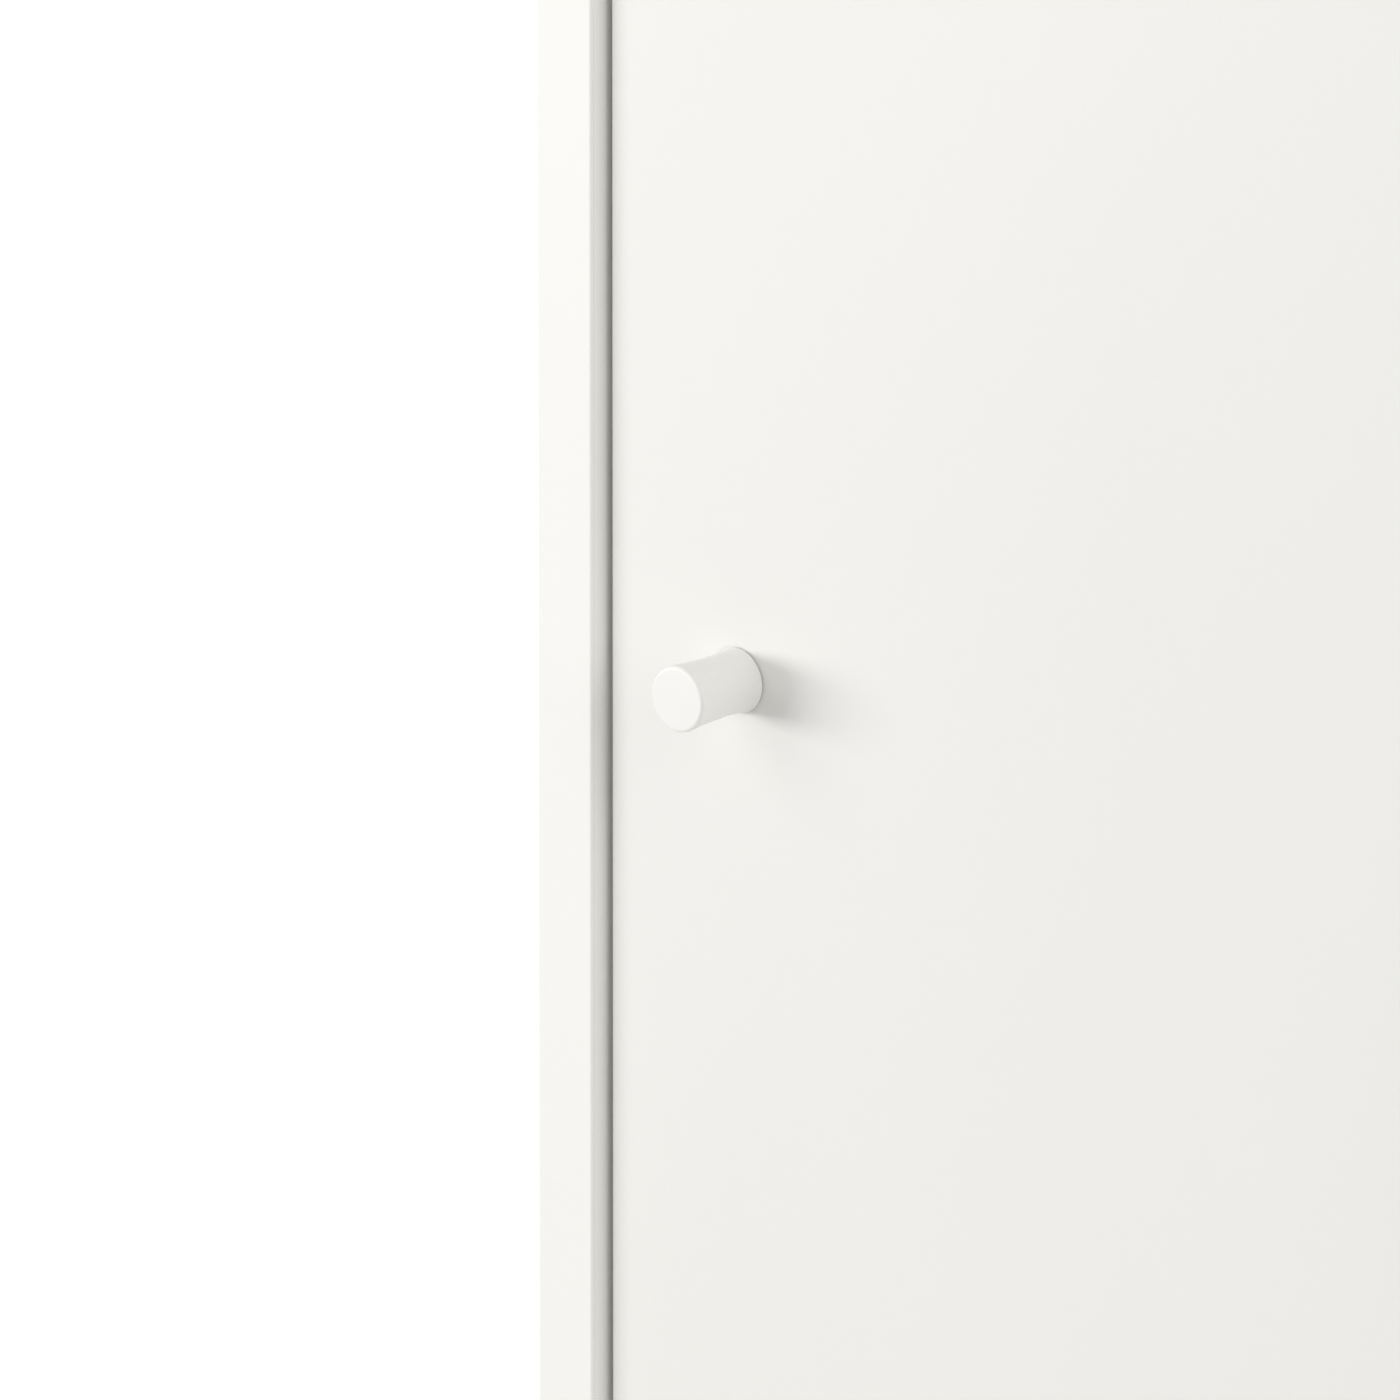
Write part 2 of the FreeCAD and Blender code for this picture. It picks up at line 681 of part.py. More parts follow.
def flange_screws(width, flange_width, into):
    """Places of the two screw heads in a fitting's flange."""
    x = (width + flange_width) / 4
    z = into * fitting_height / 2
    return [point(-x, fitting_face, z), point(x, fitting_face, z)]


def make_roller_housing():
    axle_z = axle_height - door_bottom
    slot_radius = wheel_radius + 0.8
    half_slot = wheel_width / 2 + 0.5
    tight = 0.02
    tools = [
        rod(slot_radius, point(0, -half_slot, axle_z), Y, 2 * half_slot),
        block(-slot_radius, slot_radius, -half_slot, half_slot, -overcut, axle_z),
        rod(axle_radius + tight, point(0, -door_back, axle_z), Y, door_board),
        rod(adjuster_radius + play, point(0, door_back, adjuster_z), Y * -1, adjuster_depth + 5 * play),
    ]
    screw_tool = screw_hole(fitting_screw, flange_depth + 2 * overcut)
    heads = flange_screws(roller_pocket_width, roller_flange_width, 1)
    tools += [placed(screw_tool, head, X, Y * -1) for head in heads]
    return fitting_body(roller_pocket_width, roller_flange_width, 1).cut(tools)


def make_adjuster():
    """Height adjuster in the roller housing, a disc with a cross recess."""
    recess_reach, recess_depth = 0.7 * adjuster_radius, adjuster_depth / 2
    disc = rod(adjuster_radius, origin, Z, adjuster_depth).cut(cross_recess(recess_reach, recess_depth))
    return placed(disc, point(0, fitting_face, adjuster_z), X, Y * -1)


def make_axle():
    front_end, rear_end = play - (pocket_depth - door_back), door_back - 5 * play
    return rod(axle_radius, point(0, front_end, 0), Y, rear_end - front_end)


def make_wheel():
    """Roller about its own axis: rounded rim, hub and a sunk web on both sides."""
    half = wheel_width / 2
    soft_edge, web_outer, web_inner, web_sunk = 0.8, 9.0, 4.8, 1.2
    wheel = rod(wheel_radius, point(0, -half, 0), Y, wheel_width)
    wheel = rounded(wheel, soft_edge, lambda c: near(abs(c.y), half))
    tools = [rod(axle_radius + running_clearance, point(0, -door_board, 0), Y, 2 * door_board)]
    for side in (-1, 1):
        face = point(0, side * half, 0)
        ring = rod(web_outer, face, Y * -side, web_sunk)
        tools.append(ring.cut(rod(web_inner, face, Y * -side, web_sunk)))
    return wheel.cut(tools)


def make_guide_housing():
    """Housing with a chamber for the shoulder and spring, and a window for the thumb tab."""
    half, chamber_front, chamber_rear = chamber
    tab_room = tab_half_width + 2 * play
    window_low = shoulder_low - guide_travel - 5 * play
    tools = [
        rod(nose_radius + running_clearance, point(0, 0, chamber_top - overcut), Z,
            2 * overcut - chamber_top),
        block(-half, half, chamber_front, chamber_rear, chamber_floor, chamber_top),
        block(-tab_room, tab_room, chamber_rear - overcut, door_back + overcut, window_low, chamber_top),
    ]
    screw_tool = screw_hole(fitting_screw, flange_depth + 2 * overcut)
    heads = flange_screws(guide_pocket_width, guide_flange_width, -1)
    tools += [placed(screw_tool, head, X, Y * -1) for head in heads]
    return fitting_body(guide_pocket_width, guide_flange_width, -1).cut(tools)


def make_guide_pin():
    """Guide pin with its nose above the door, a shoulder in the chamber and a thumb tab."""
    half, chamber_front, chamber_rear = chamber
    shoulder_half = half - 2 * play
    shoulder_top = chamber_top - play
    nose_bottom = shoulder_low + overlap
    nose_edge, tab_sunk = 1.5, 0.3
    stem_radius, stem_length = 1.8, 6.0
    nose = rod(nose_radius, point(0, 0, nose_bottom), Z, guide_rise - nose_bottom)
    nose = rounded(nose, nose_edge, lambda c: near(c.z, guide_rise))
    return joined([
        nose,
        block(-shoulder_half, shoulder_half, chamber_front + play, chamber_rear - play,
              shoulder_low, shoulder_top),
        block(-tab_half_width, tab_half_width, chamber_rear - overlap, door_back - tab_sunk,
              shoulder_low, shoulder_top),
        rod(stem_radius, point(0, 0, shoulder_low - stem_length), Z, stem_length + overlap),
    ])


def make_guide_spring():
    """Compression spring between the chamber's floor and the pin's shoulder."""
    wire, radius, turns = 0.4, 2.8, 6
    low = chamber_floor + wire + running_clearance
    height = shoulder_low - running_clearance - wire - low
    helix = Part.makeHelix(height / turns, height, radius)
    slope = FreeCAD.Vector(0, 2 * math.pi * radius, height / turns)
    section = Part.Wire(Part.makeCircle(wire, point(radius, 0, 0), slope))
    coil = Part.Wire(helix).makePipeShell([section], True, True)
    return coil.translated(point(0, 0, low))


# ---------------------------------------------------------------- doors
def make_knob():
    """Round knob along +Z: a slight waist, a soft outer edge and a blind screw hole in its foot."""
    foot = point(knob_foot_diameter / 2, 0, 0)
    waist = point(knob_waist_diameter / 2, 0, knob_waist_height)
    end = point(knob_radius, 0, knob_length)
    middle = point(0, 0, knob_length)
    into_waist = Part.BezierCurve()
    into_waist.setPoles([foot, point(waist.x, 0, waist.z / 3), waist])
    from_waist = Part.BezierCurve()
    from_waist.setPoles([waist, point(waist.x, 0, (waist.z + end.z) / 2), end])
    outline = Part.Wire([
        Part.makeLine(origin, foot), into_waist.toShape(), from_waist.toShape(),
        Part.makeLine(end, middle), Part.makeLine(middle, origin),
    ])
    body = Part.Face(outline).revolve(origin, Z, 360)
    body = rounded(body, knob_edge_radius, lambda c: near(c.z, knob_length))
    hole_radius = knob_screw[1] + running_clearance
    return body.cut(rod(hole_radius, point(0, 0, -overcut), Z, knob_hole_depth + overcut))


def make_door(door, left_edge, lane, knob_x):
    """One door with everything that slides along with it."""
    right_edge = left_edge + door_width
    face, back = lane - door_back, lane + door_back
    panel = block(left_edge, right_edge, face, back, door_bottom, door_top)
    panel = panel.makeFillet(door_edge_radius, panel.Edges)

    knob_foot = point(knob_x, face, knob_height)
    screw_head = point(knob_x, back, knob_height)
    export(door + "_door_knob", placed(make_knob(), knob_foot, X, Y * -1))
    blunt_end = (0.5, 0.75 * knob_screw[1])  # length and radius
    bolt = countersunk_screw(knob_screw, *blunt_end)
    export(door + "_knob_screw", placed(bolt, screw_head, X, Y * -1))
    tools = [placed(screw_hole(knob_screw, door_board + overcut), screw_head, X, Y * -1)]

    roller_pocket = fitting_pocket(roller_pocket_width, roller_flange_width, 1)
    guide_pocket = fitting_pocket(guide_pocket_width, guide_flange_width, -1)
    roller_parts = (("roller_housings", make_roller_housing()), ("roller_adjusters", make_adjuster()))
    screw = wood_screw(fitting_screw)
    groups = defaultdict(list)
    for side, x in (("left", left_edge + fitting_inset), ("right", right_edge - fitting_inset)):
        foot, head, hub = point(x, lane, door_bottom), point(x, lane, door_top), point(x, lane, axle_height)
        tools += [roller_pocket.translated(foot), guide_pocket.translated(head)]
        for name, shape in roller_parts:
            groups[name].append(shape.translated(foot))
        groups["roller_axles"].append(make_axle().translated(hub))
        groups["guide_housings"].append(make_guide_housing().translated(head))
        for spot in flange_screws(roller_pocket_width, roller_flange_width, 1):
            groups["fitting_screws"].append(placed(screw, spot + foot, X, Y * -1))
        for spot in flange_screws(guide_pocket_width, guide_flange_width, -1):
            groups["fitting_screws"].append(placed(screw, spot + head, X, Y * -1))
        export(door + "_roller_wheel_" + side, make_wheel().translated(hub))
        export(door + "_guide_pin_" + side, make_guide_pin().translated(head))
        export(door + "_guide_spring_" + side, make_guide_spring().translated(head))
    for name, solids in groups.items():
        export(door + "_" + name, solids)
    export(door + "_door_panel", panel.cut(tools))


# ---------------------------------------------------------------- whole wardrobe
def main():
    os.makedirs("parts", exist_ok=True)
    make_boards()
    join_boards()
    add_shelf_pins()
    add_foot_glides()
    make_back()
    add_back_nails()
    add_wall_brackets()
    make_rail()
    make_tracks()
    add_door_buffers()
    make_door("front", front_door_left, front_lane, front_knob_x)
    make_door("rear", rear_door_left, rear_lane, rear_knob_x)
    for name, shape in boards.items():
        export(name, shape.cut(cuts[name]) if cuts[name] else shape)
    for name, solids in hardware.items():
        export(name, solids)


main()
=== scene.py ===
"""Looks of the white sliding door wardrobe: materials, knobs, guide springs, camera, light and floor."""

import json
import math

import bmesh
import bpy
from mathutils import Matrix, Vector


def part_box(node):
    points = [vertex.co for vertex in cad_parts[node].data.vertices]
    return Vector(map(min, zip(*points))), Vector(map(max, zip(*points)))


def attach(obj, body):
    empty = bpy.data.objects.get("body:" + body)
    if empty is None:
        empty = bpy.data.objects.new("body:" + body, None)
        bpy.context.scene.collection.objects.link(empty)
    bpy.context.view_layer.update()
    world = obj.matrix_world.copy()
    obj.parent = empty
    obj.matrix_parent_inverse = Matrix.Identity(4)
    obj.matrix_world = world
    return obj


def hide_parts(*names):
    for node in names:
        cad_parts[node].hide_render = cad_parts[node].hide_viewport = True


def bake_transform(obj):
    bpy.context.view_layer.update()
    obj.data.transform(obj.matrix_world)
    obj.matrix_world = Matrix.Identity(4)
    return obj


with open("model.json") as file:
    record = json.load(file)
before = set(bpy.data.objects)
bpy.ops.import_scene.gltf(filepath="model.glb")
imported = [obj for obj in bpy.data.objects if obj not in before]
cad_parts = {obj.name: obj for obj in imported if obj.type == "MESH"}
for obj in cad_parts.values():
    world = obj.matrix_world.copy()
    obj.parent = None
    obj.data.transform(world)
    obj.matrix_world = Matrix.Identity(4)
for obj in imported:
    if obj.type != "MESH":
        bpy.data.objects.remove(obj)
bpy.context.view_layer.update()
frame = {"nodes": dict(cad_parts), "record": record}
nodes = frame["nodes"]

MM = 0.001

# the middle of the front door's knob, where it meets the door
knob_low, knob_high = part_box("front_door_knob")
knob_foot = Vector(((knob_low.x + knob_high.x) / 2, knob_high.y, (knob_low.z + knob_high.z) / 2))


# ---------------------------------------------------------------- node building
class Nodes:
    """Short forms for building one material's or the world's node tree."""

    def __init__(self, tree):
        self.tree = tree

    def add(self, kind, **settings):
        node = self.tree.nodes.new(kind)
        for key, value in settings.items():
            setattr(node, key, value)
        return node

    def put(self, node, socket, value):
        """Links value if it is a socket, else sets it as the socket's own number or colour."""
        if isinstance(value, bpy.types.NodeSocket):
            self.tree.links.new(value, node.inputs[socket])
        else:
            node.inputs[socket].default_value = value

    def maths(self, operation, *values):
        node = self.add("ShaderNodeMath", operation=operation)
        for n, value in enumerate(values):
            self.put(node, n, value)
        return node.outputs[0]

    def position(self):
        return self.add("ShaderNodeTexCoord").outputs["Object"]

    def axes(self, vector):
        """The x, y and z of a vector."""
        node = self.add("ShaderNodeSeparateXYZ")
        self.put(node, 0, vector)
        return node.outputs[0], node.outputs[1], node.outputs[2]

    def scaled(self, vector, scale):
        node = self.add("ShaderNodeMapping")
        self.put(node, "Vector", vector)
        node.inputs["Scale"].default_value = scale
        return node.outputs[0]

    def noise(self, vector, scale, detail=2.0, roughness=0.5):
        """Noise with scale waves in each metre of vector."""
        node = self.add("ShaderNodeTexNoise")
        self.put(node, "Vector", vector)
        node.inputs["Scale"].default_value = scale
        node.inputs["Detail"].default_value = detail
        node.inputs["Roughness"].default_value = roughness
        return node.outputs["Fac"]

    def remap(self, value, low, high, out_low, out_high, smooth=False):
        """Turns low to high into out_low to out_high, and holds the ends."""
        node = self.add("ShaderNodeMapRange", interpolation_type="SMOOTHSTEP" if smooth else "LINEAR")
        self.put(node, "Value", value)
        ends = {"From Min": low, "From Max": high, "To Min": out_low, "To Max": out_high}
        for socket, number in ends.items():
            self.put(node, socket, number)
        return node.outputs[0]

    def mix(self, share, colour_a, colour_b):
        node = self.add("ShaderNodeMix", data_type="RGBA")
        self.put(node, 0, share)
        self.put(node, 6, colour_a)
        self.put(node, 7, colour_b)
        return node.outputs[2]

    def bump(self, height, strength, distance):
        node = self.add("ShaderNodeBump")
        node.inputs["Strength"].default_value = strength
        node.inputs["Distance"].default_value = distance
        self.put(node, "Height", height)
        return node.outputs[0]

    def worn_and_highlit_edges(self, reach, breaks):
        """Mask of the outer edges, 1 at an edge, 0 beyond reach, broken up by noise: where handling wears
        them smoother, and where a material lightens its colour by it, a painted highlight along the edges.
        """
        at_edge, on_flat = 0.5, 0.95
        inward = self.add("ShaderNodeAmbientOcclusion", samples=4, inside=True, only_local=True)
        inward.inputs["Distance"].default_value = reach
        near = self.remap(inward.outputs["AO"], at_edge, on_flat, 1.0, 0.0)
        return self.maths("MULTIPLY", near, self.remap(breaks, 0.35, 0.6, 0.25, 1.0))


def new_material(name):
    """A material with its node helper, the place on the object and its Principled shader."""
    material = bpy.data.materials.new(name)
    material.use_nodes = True
    n = Nodes(material.node_tree)
    return material, n, n.position(), material.node_tree.nodes["Principled BSDF"]


def shade(colour, factor):
    """The colour times factor, with the alpha that a socket needs."""
    return tuple(c * factor for c in colour) + (1.0,)


# ---------------------------------------------------------------- materials
NOISE_LOW, NOISE_HIGH = 0.3, 0.7  # most of a noise lies between these

BAND_THICKNESS = 0.9 * MM  # edge band, as deep as the rounding of a board's front edges
BAND_FADE = 0.1 * MM
SEAM_WIDTH = 0.14 * MM  # glue line between the edge band and the face foil
SCREEN_PITCH = 1.6 * MM  # screen mark on the rear of hardboard
PRINT_SHARE = 0.4  # how deep into the hardboard its white side reaches

FOIL_IOR, PLASTIC_IOR = 1.48, 1.5
BOARD_SHEEN, DOOR_SHEEN = 0.42, 0.40  # roughness of the carcass boards and of the doors

WHITE = (0.915, 0.906, 0.873)
DOOR_WHITE = (0.864, 0.856, 0.824)
KNOB_WHITE = (0.905, 0.898, 0.868)
BACK_WHITE = (0.80, 0.795, 0.77)
BACK_BROWN = (0.30, 0.185, 0.105)
MOULDING_WHITE = (0.80, 0.80, 0.78)
MOULDING_GREY = (0.34, 0.35, 0.36)
MOULDING_DARK = (0.03, 0.03, 0.032)
NYLON = (0.72, 0.70, 0.63)
PAD_CLEAR = (0.78, 0.78, 0.75)
ALUMINIUM = (0.72, 0.73, 0.74)
CHROME = (0.78, 0.79, 0.80)
ZINC_PLATE = (0.66, 0.67, 0.68)
CAST_ZINC = (0.50, 0.51, 0.52)
SPRING_STEEL = (0.46, 0.47, 0.48)
BEECH = (0.52, 0.33, 0.17)

BOARDS = ("side_panel_left", "side_panel_right", "top_panel", "bottom_panel", "partition_panel",
          "plinth_front", "plinth_rear", "hat_shelf", "fixed_shelf", "adjustable_shelf_lower",
          "adjustable_shelf_middle", "adjustable_shelf_upper")


def coated_board(name, colour, roughness, front_edge=None):
    """White foil or melamine on board: fine orange peel, slow sheen changes, banded front edge."""
    clouds, smears, specks, rubs, peel_waves, peel_grain = 2.3, (9.0, 9.0, 3.0), 900.0, 55.0, 520.0, 2600.0
    material, n, place, bsdf = new_material(name)
    tone = n.mix(n.noise(place, clouds, 3.0), shade(colour, 0.985), shade(colour, 1.0))
    smear = n.noise(n.scaled(place, smears), 1.0, 4.0, 0.6)
    dust = n.noise(place, specks)
    rough = n.remap(smear, 0.3, 0.75, roughness - 0.05, roughness + 0.07)
    rough = n.maths("ADD", rough, n.remap(dust, 0.35, 0.65, -0.02, 0.02))
    worn_and_highlit_edge = n.worn_and_highlit_edges(1.2 * MM, n.noise(place, rubs, 3.0))
    rough = n.maths("SUBTRACT", rough, n.maths("MULTIPLY", worn_and_highlit_edge, 0.08))
    peel = n.noise(place, peel_waves, 2.0, 0.45)
    height = n.maths("ADD", peel, n.maths("MULTIPLY", n.noise(place, peel_grain, 1.0), 0.25))
    if front_edge is not None:
        from_seam = n.maths("SUBTRACT", n.axes(place)[1], front_edge + BAND_THICKNESS)
        distance = n.maths("ABSOLUTE", from_seam)
        seam = n.remap(distance, SEAM_WIDTH * 0.4, SEAM_WIDTH, 1.0, 0.0, smooth=True)
        tone = n.mix(n.maths("MULTIPLY", seam, 0.22), tone, shade(colour, 0.45))
        band = n.remap(from_seam, -BAND_FADE, 0.0, 1.0, 0.0)
        rough = n.maths("SUBTRACT", rough, n.maths("MULTIPLY", band, 0.05))
        height = n.maths("SUBTRACT", height, n.maths("MULTIPLY", seam, 3.0))
    n.put(bsdf, "Base Color", tone)
    n.put(bsdf, "Roughness", rough)
    bsdf.inputs["IOR"].default_value = FOIL_IOR
    n.put(bsdf, "Normal", n.bump(height, strength=0.35, distance=0.02 * MM))
    return material


def hardboard(name, inside, outside, middle_y):
    """Hardboard: white print on the inside, pressed brown fibre with a screen mark behind."""
    clump_size, fibre_size, mottle = 38.0, (420.0, 1.0, 140.0), 60.0
    material, n, place, bsdf = new_material(name)
    x, y, z = n.axes(place)
    behind = n.maths("GREATER_THAN", y, middle_y)
    clumps = n.noise(place, clump_size, 5.0, 0.65)
    fibres = n.noise(n.scaled(place, fibre_size), 1.0, 4.0, 0.7)
    clumped = n.remap(clumps, NOISE_LOW, NOISE_HIGH, 0.0, 1.0)
    brown = n.mix(clumped, shade(outside, 0.86), shade(outside, 1.06))
    brown = n.mix(n.remap(fibres, 0.35, 0.7, 0.0, 0.6), brown, shade(outside, 0.66))
    print_tone = n.mix(n.noise(place, mottle, 3.0), shade(inside, 0.98), shade(inside, 1.0))
    n.put(bsdf, "Base Color", n.mix(behind, print_tone, brown))
    n.put(bsdf, "Roughness", n.remap(behind, 0.0, 1.0, 0.52, 0.86))
    wave = 2 * math.pi / SCREEN_PITCH
    weave_x, weave_z = (n.maths("SINE", n.maths("MULTIPLY", along, wave)) for along in (x, z))
    screen = n.maths("MULTIPLY", n.maths("MULTIPLY", weave_x, weave_z), behind)
    height = n.maths("ADD", fibres, n.maths("MULTIPLY", screen, 0.5))
    n.put(bsdf, "Normal", n.bump(height, strength=0.5, distance=0.12 * MM))
    return material


def moulded(name, colour, roughness, grain=1.2 * MM, clear=0.0):
    """Injection-moulded plastic with a fine spark-eroded grain and slight flow marks."""
    flow_marks = (60.0, 60.0, 20.0)
    material, n, place, bsdf = new_material(name)
    flow = n.noise(n.scaled(place, flow_marks), 1.0, 3.0)
    worn_and_highlit_edge = n.worn_and_highlit_edges(0.35 * MM, flow)
    tone = n.mix(flow, shade(colour, 0.95), shade(colour, 1.0))
    # lighter colour along the outer edges: partly worn plastic, partly a painted highlight
    n.put(bsdf, "Base Color", n.mix(n.maths("MULTIPLY", worn_and_highlit_edge, 0.5), tone, shade(colour, 1.12)))
    rough = n.remap(flow, NOISE_LOW, NOISE_HIGH, roughness - 0.05, roughness + 0.06)
    n.put(bsdf, "Roughness", n.maths("SUBTRACT", rough, n.maths("MULTIPLY", worn_and_highlit_edge, 0.1)))
    relief = n.noise(place, 1.0 / grain, 3.0, 0.55)
    n.put(bsdf, "Normal", n.bump(relief, strength=0.4, distance=0.01 * MM))
    bsdf.inputs["IOR"].default_value = PLASTIC_IOR
    bsdf.inputs["Transmission Weight"].default_value = clear
    return material


def lacquered(name, colour):
    """Satin lacquer of the knobs: very fine peel and a soft clear coat."""
    clouds, peel_waves = 120.0, 1500.0
    material, n, place, bsdf = new_material(name)
    drift = n.noise(place, clouds, 3.0)
    n.put(bsdf, "Base Color", n.mix(drift, shade(colour, 0.985), shade(colour, 1.0)))
    rough = n.remap(drift, NOISE_LOW, NOISE_HIGH, 0.36, 0.44)
    worn_and_highlit_edge = n.worn_and_highlit_edges(0.6 * MM, drift)
    n.put(bsdf, "Roughness", n.maths("SUBTRACT", rough, n.maths("MULTIPLY", worn_and_highlit_edge, 0.06)))
    n.put(bsdf, "Normal", n.bump(n.noise(place, peel_waves), strength=0.25, distance=0.01 * MM))
    bsdf.inputs["Coat Weight"].default_value = 0.15
    bsdf.inputs["Coat Roughness"].default_value = 0.3
    return material


def metal(name, colour, roughness, streaks=(400.0, 400.0, 400.0), relief=0.01 * MM, tint=0.93, spots=0.0):
    """Metal with streaks or grain along one direction, and patches of zinc bloom if spots is set."""
    bloom_patches = 160.0
    material, n, place, bsdf = new_material(name)
    lines = n.noise(n.scaled(place, streaks), 1.0, 5.0, 0.6)
    bloom = n.noise(place, bloom_patches, 4.0, 0.6)
    lined = n.remap(lines, NOISE_LOW, NOISE_HIGH, 0.0, 1.0)
    tone = n.mix(lined, shade(colour, tint), shade(colour, 1.0))
    tone = n.mix(n.remap(bloom, 0.5, 0.75, 0.0, spots), tone, shade(colour, 0.72))
    worn_and_highlit_edge = n.worn_and_highlit_edges(0.3 * MM, bloom)
    # lighter colour along the outer edges: partly worn metal, partly a painted highlight
    n.put(bsdf, "Base Color", n.mix(n.maths("MULTIPLY", worn_and_highlit_edge, 0.6), tone, shade(colour, 1.2)))
    bsdf.inputs["Metallic"].default_value = 1.0
    rough = n.remap(lines, NOISE_LOW, NOISE_HIGH, roughness * 0.8, roughness * 1.25)
    rough = n.maths("ADD", rough, n.remap(bloom, 0.45, 0.75, 0.0, spots * 0.3))
    n.put(bsdf, "Roughness", n.maths("MULTIPLY", rough, n.remap(worn_and_highlit_edge, 0.0, 1.0, 1.0, 0.75)))
    n.put(bsdf, "Normal", n.bump(lines, strength=0.3, distance=relief))
    return material


def beech(name, colour):
    """Beech dowel: long fine pores along its length and soft growth bands."""
    band_size, pore_size = (30.0, 30.0, 300.0), (180.0, 2200.0, 2200.0)
    material, n, place, bsdf = new_material(name)
    bands = n.noise(n.scaled(place, band_size), 1.0, 4.0)
    pores = n.noise(n.scaled(place, pore_size), 1.0, 3.0)
    tone = n.mix(bands, shade(colour, 0.85), shade(colour, 1.08))
    n.put(bsdf, "Base Color", n.mix(n.remap(pores, 0.55, 0.7, 0.0, 0.5), tone, shade(colour, 0.6)))
    n.put(bsdf, "Roughness", n.remap(pores, 0.4, 0.7, 0.6, 0.75))
    n.put(bsdf, "Normal", n.bump(pores, strength=0.4, distance=0.03 * MM))
    return material


def make_materials():
    """One material for each slot of the record."""
    drawn, polished, wound = (3.0, 2400.0, 2400.0), (6.0, 1800.0, 1800.0), (900.0, 900.0, 2600.0)
    sand = (900.0, 900.0, 900.0)
    back_low, back_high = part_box("back_panel_left")
    back_middle = back_low.y + PRINT_SHARE * (back_high.y - back_low.y)
    return {
        "door_board": coated_board("door_foil", DOOR_WHITE, DOOR_SHEEN),
        "back_board": hardboard("back_hardboard", BACK_WHITE, BACK_BROWN, back_middle),
        "knob_plastic": lacquered("knob_lacquer", KNOB_WHITE),
        "white_plastic": moulded("white_moulding", MOULDING_WHITE, 0.45),
        "grey_plastic": moulded("grey_moulding", MOULDING_GREY, 0.48),
        "dark_plastic": moulded("dark_moulding", MOULDING_DARK, 0.5),
        "roller_nylon": moulded("roller_nylon", NYLON, 0.38, grain=0.6 * MM),
        "soft_rubber": moulded("soft_pad", PAD_CLEAR, 0.3, grain=2.0 * MM, clear=0.35),
        "track_aluminium": metal("anodised_track", ALUMINIUM, 0.34, drawn),
        "rail_chrome": metal("chrome_rail", CHROME, 0.09, polished, relief=0.002 * MM, tint=0.97),
        "zinc_steel": metal("zinc_plated_steel", ZINC_PLATE, 0.33, spots=0.5),
        "cast_zinc": metal("die_cast_zinc", CAST_ZINC, 0.46, sand, relief=0.04 * MM, spots=0.3),
        "spring_steel": metal("spring_wire", SPRING_STEEL, 0.26, wound),
        "beech": beech("beech_dowel", BEECH),
    }


def paint_nodes(materials):
    """Gives every CAD node its slot's material, and each white board one with its own front edge."""
    for part in frame["record"]["subparts"]:
        node = part["node"]
        if node in BOARDS:
            material = coated_board("foil_" + node, WHITE, BOARD_SHEEN, front_edge=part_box(node)[0].y)
        else:
            material = materials[part["material_slot"]]
        mesh = nodes[node].data
        mesh.materials.clear()
        mesh.materials.append(material)


# ---------------------------------------------------------------- knobs and springs
SHARP_ANGLE = math.radians(44)

KNOB_SEGMENTS = 160
KNOB_WAIST_HEIGHT = 7.5 * MM  # narrowest place above the door
KNOB_FOOT_INSET = 0.1 * MM  # foot and waist inside the outer end's radius
KNOB_WAIST_INSET = 0.75 * MM
KNOB_STEP = 0.38 * MM  # height of the undercut at the door, which is twice as deep
KNOB_RIM = 0.08 * MM  # soft edge above the undercut
KNOB_SOFT_EDGE = 0.9 * MM
KNOB_CROWN = 0.06 * MM

WIRE_RADIUS = 0.4 * MM
WIRE_SIDES = 12
SPRING_TURNS = 7
SPRING_STEPS = 36  # to one turn
CLOSED_TURNS = 0.9  # at each end
CLOSED_PITCH = 2 * WIRE_RADIUS * 1.02


def mesh_from(name, bm):
    mesh = bpy.data.meshes.new(name)
    bm.to_mesh(mesh)
    bm.free()
    return mesh


def mesh_piece(name, mesh, material):
    """A smooth-shaded piece with its sharp edges kept, finished with its record slot."""
    mesh.materials.append(material)
    for polygon in mesh.polygons:
        polygon.use_smooth = True
    mesh.set_sharp_from_angle(angle=SHARP_ANGLE)
    piece = bpy.data.objects.new(name, mesh)
    bpy.context.scene.collection.objects.link(piece)
    return piece


def lathe(name, profile, segments):
    """Closed surface of revolution about +Z from (radius, height) points, first and last on the axis."""
    bm = bmesh.new()
    turns = [2 * math.pi * k / segments for k in range(segments)]
    rings = [[bm.verts.new((radius * math.cos(a), radius * math.sin(a), height)) for a in turns]
             for radius, height in profile[1:-1]]
    low, high = (bm.verts.new((0, 0, profile[end][1])) for end in (0, -1))
    for k in range(segments):
        following = (k + 1) % segments
        bm.faces.new((low, rings[0][following], rings[0][k]))
        bm.faces.new((high, rings[-1][k], rings[-1][following]))
        for ring, above in zip(rings, rings[1:]):
            bm.faces.new((ring[k], ring[following], above[following], above[k]))
    return mesh_from(name, bm)


def arc(centre, radius, start, end, steps):
    """Points on an arc in the profile plane, angles in degrees from the radial direction."""
    angles = [math.radians(start + (end - start) * k / steps) for k in range(steps + 1)]
    return [(centre[0] + radius * math.cos(a), centre[1] + radius * math.sin(a)) for a in angles]


def bend(start, pull, end, steps):
    """Points on a quadratic curve from start to end that is drawn towards pull, without its end."""
    points = []
    for t in (k / steps for k in range(steps)):
        weights = ((1 - t) ** 2, 2 * t * (1 - t), t**2)
        points.append(tuple(sum(w * p[i] for w, p in zip(weights, (start, pull, end))) for i in (0, 1)))
    return points


